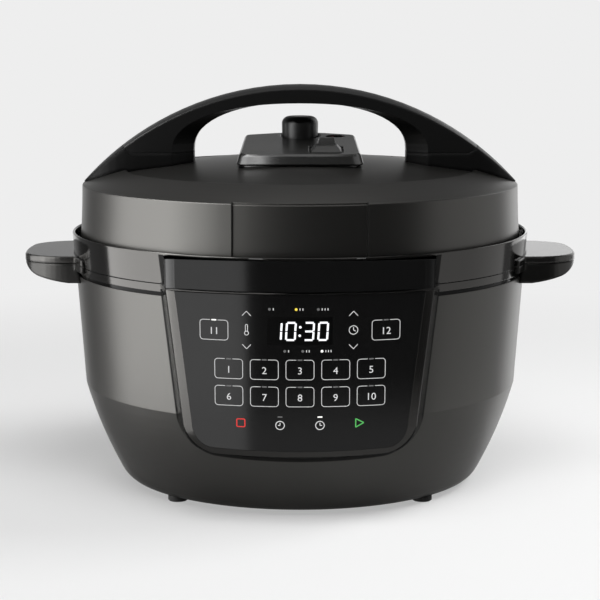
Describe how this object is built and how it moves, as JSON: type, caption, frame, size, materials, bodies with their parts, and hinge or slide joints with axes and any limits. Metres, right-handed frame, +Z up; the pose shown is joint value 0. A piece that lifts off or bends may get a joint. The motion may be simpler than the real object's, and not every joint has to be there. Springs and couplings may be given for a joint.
{
  "type": "electric pressure cooker",
  "caption": "Wide electric pressure cooker with a curved control panel, side handles and a bridge handle over its turning, lift-off lid.",
  "frame": {"origin": "on the table under the middle of the cooker, at the centre of its footprint box", "axes": "+Z up, the control panel faces -Y, +X to the right seen from the front"},
  "size_m": [0.4186, 0.3508, 0.3007],
  "materials": {
    "body_satin": "satin black metallic paint",
    "band_gloss": "glossy black moulded plastic",
    "grip_black": "satin black moulded plastic",
    "lid_satin": "satin black metallic coat",
    "handle_black": "black moulded plastic",
    "cover_black": "satin black moulded plastic",
    "knob_black": "black moulded plastic",
    "frame_gloss": "glossy dark grey plastic",
    "panel_black": "black touch glass",
    "inner_black": "plain black plastic",
    "cup_plastic": "smoky black plastic",
    "foot_rubber": "black rubber",
    "steel_parts": "brushed stainless steel",
    "pot_steel": "brushed stainless steel with ring marks",
    "aluminium_parts": "plain aluminium",
    "screw_steel": "zinc-plated screws and small steel parts",
    "brass_pins": "brass contact blades",
    "board_green": "green circuit board",
    "transformer_mix": "wound transformer",
    "relay_blue": "blue moulded relay",
    "fuse_white": "white ceramic fuse",
    "seal_silicone": "translucent white silicone",
    "float_red": "red plastic tip"
  },
  "bodies": {
    "base": {"body_shell": "body_satin", "collector_bay": "inner_black", "inlet_housing": "inner_black", "rim_band": "band_gloss", "locking_ring": "steel_parts", "cooker_liner": "aluminium_parts", "base_plate": "inner_black", "feet": "foot_rubber", "base_screws": "screw_steel", "left_grip": "grip_black", "left_grip_cover": "grip_black", "right_grip": "grip_black", "right_grip_cover": "grip_black", "panel_strip": "band_gloss", "panel_frame": "frame_gloss", "panel_glass": "panel_black", "display_module": "inner_black", "control_board": "board_green", "power_board": "board_green", "transformer": "transformer_mix", "relay": "relay_blue", "board_screws": "screw_steel", "power_inlet": "inner_black", "inlet_pins": "brass_pins", "inlet_screws": "screw_steel", "heating_plate": "aluminium_parts", "heating_ring": "screw_steel", "heater_posts": "screw_steel", "thermal_fuse": "fuse_white", "sensor_guide": "inner_black", "sensor_spring": "screw_steel"},
    "sensor": {"temperature_sensor": "aluminium_parts"},
    "collector": {"condensation_cup": "cup_plastic"},
    "pot": {"inner_pot": "pot_steel"},
    "seal": {"sealing_ring": "seal_silicone"},
    "lid": {"lid_cover": "lid_satin", "handle_bridge": "handle_black", "left_handle_foot": "handle_black", "right_handle_foot": "handle_black", "handle_screws": "screw_steel", "steam_cover": "cover_black", "lid_plate": "steel_parts", "lid_screws": "screw_steel", "seal_rack": "steel_parts", "steam_pipe": "steel_parts", "pipe_nut": "steel_parts", "steam_shield": "steel_parts"},
    "float": {"float_valve": "float_red", "float_cap": "seal_silicone"},
    "release": {"quick_release": "cover_black"},
    "knob": {"steam_knob": "knob_black", "valve_weight": "steel_parts"}
  },
  "joints": [
    {"name": "pot_lift", "type": "slide", "parent": "base", "child": "pot", "axis": [0, 0, 1], "range_m": [0, 0.16]},
    {"name": "lid_lift", "type": "slide", "parent": "pot", "child": "seal", "axis": [0, 0, 1], "range_m": [0, 0.12]},
    {"name": "lid_turn", "type": "hinge", "parent": "seal", "child": "lid", "pos_m": [0, 0, 0.2], "axis": [0, 0, 1], "range_deg": [-30, 0]},
    {"name": "knob_lift", "type": "slide", "parent": "lid", "child": "knob", "axis": [0, 0, 1], "range_m": [0, 0.008]},
    {"name": "float_rise", "type": "slide", "parent": "lid", "child": "float", "axis": [0, 0, 1], "range_m": [0, 0.0035]},
    {"name": "release_slide", "type": "slide", "parent": "lid", "child": "release", "axis": [0, 0.995, 0.0995], "range_m": [0, 0.008]},
    {"name": "sensor_press", "type": "slide", "parent": "base", "child": "sensor", "axis": [0, 0, 1], "range_m": [-0.002, 0], "stiffness_N_per_m": 400, "springref_m": 0.004, "deforming": ["sensor_spring"]},
    {"name": "cup_slide", "type": "slide", "parent": "base", "child": "collector", "axis": [0, 1, 0], "range_m": [0, 0.035]}
  ]
}
